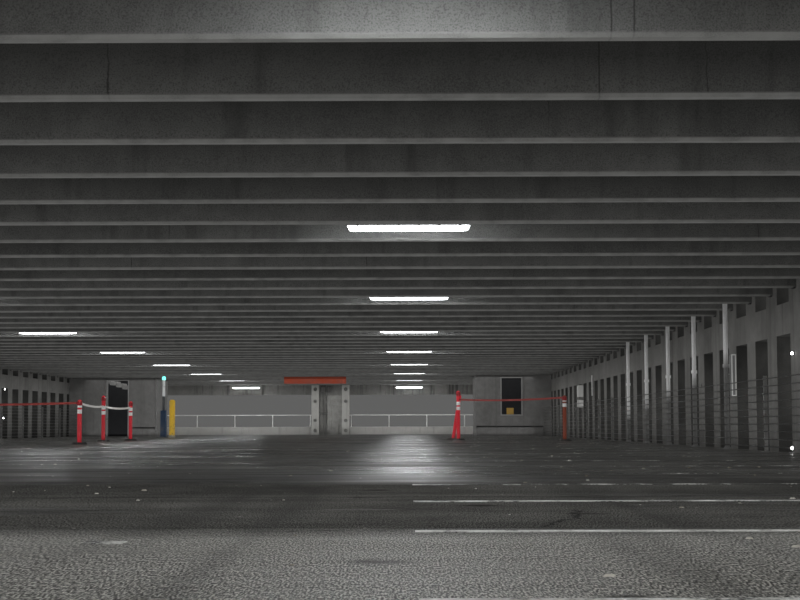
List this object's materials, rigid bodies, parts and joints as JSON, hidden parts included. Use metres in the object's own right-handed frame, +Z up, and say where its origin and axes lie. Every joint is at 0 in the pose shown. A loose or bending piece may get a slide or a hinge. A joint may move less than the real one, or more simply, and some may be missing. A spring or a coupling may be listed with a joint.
{
  "type": "multi storey car park, one covered storey and the deck above it, 1:10 scale model",
  "caption": "Precast concrete parking storey with ribbed ceiling, pierced side walls, cable barriers, guard rails and hanging lamps.",
  "frame": {"origin": "middle of the footprint at ground level", "axes": "+Z up, +Y along the drive aisle to the back end, +X to the right as seen from the front"},
  "size_m": [1.99, 9.184, 0.4392],
  "materials": {
    "floor_concrete": "worn sealed concrete",
    "deck_concrete": "form-finished precast concrete",
    "wall_concrete": "form-finished precast concrete",
    "end_concrete": "form-finished precast concrete",
    "room_concrete": "cast concrete",
    "white_paint": "gloss",
    "galvanised_steel": "galvanised",
    "steel_strand": "galvanised strand",
    "cabinet_paint": "satin",
    "lamp_housing": "satin",
    "lamp_lens": "lit diffuser",
    "red_paint": "satin",
    "yellow_paint": "gloss, worn",
    "pillar_paint": "satin",
    "teal_lens": "lit lens",
    "red_plastic": "satin",
    "base_rubber": "matt",
    "red_webbing": "woven strap"
  },
  "bodies": {
    "root": {"floor_slab": "floor_concrete", "entrance_threshold": "floor_concrete", "deck_tees_1": "deck_concrete", "right_wall_panels_1": "wall_concrete", "left_wall_panels_1": "wall_concrete", "deck_tees_2": "deck_concrete", "right_wall_panels_2": "wall_concrete", "left_wall_panels_2": "wall_concrete", "deck_tees_3": "deck_concrete", "right_wall_panels_3": "wall_concrete", "left_wall_panels_3": "wall_concrete", "deck_tees_4": "deck_concrete", "right_wall_panels_4": "wall_concrete", "left_wall_panels_4": "wall_concrete", "deck_tees_5": "deck_concrete", "right_wall_panels_5": "wall_concrete", "left_wall_panels_5": "wall_concrete", "back_piers": "end_concrete", "back_spandrels": "end_concrete", "back_kerbs": "end_concrete", "front_piers": "end_concrete", "front_spandrels": "end_concrete", "front_kerb": "end_concrete", "right_rear_enclosure": "room_concrete", "left_rear_enclosure": "room_concrete", "back_guard_rails": "white_paint", "front_guard_rail": "white_paint", "right_barrier_posts": "galvanised_steel", "left_barrier_posts": "galvanised_steel", "full_height_posts": "galvanised_steel", "back_pier_conduits": "galvanised_steel", "right_barrier_cables": "steel_strand", "left_barrier_cables": "steel_strand", "hanger_rods": "steel_strand", "wall_cabinets": "cabinet_paint", "lamp_trays": "lamp_housing", "lamp_lenses": "lamp_lens", "clearance_board": "red_paint", "bollard": "yellow_paint", "call_pillar": "pillar_paint", "pillar_lamp": "teal_lens", "lane_posts": "red_plastic", "lane_post_bases": "base_rubber", "lane_belts": "red_webbing"}
  },
  "joints": []
}
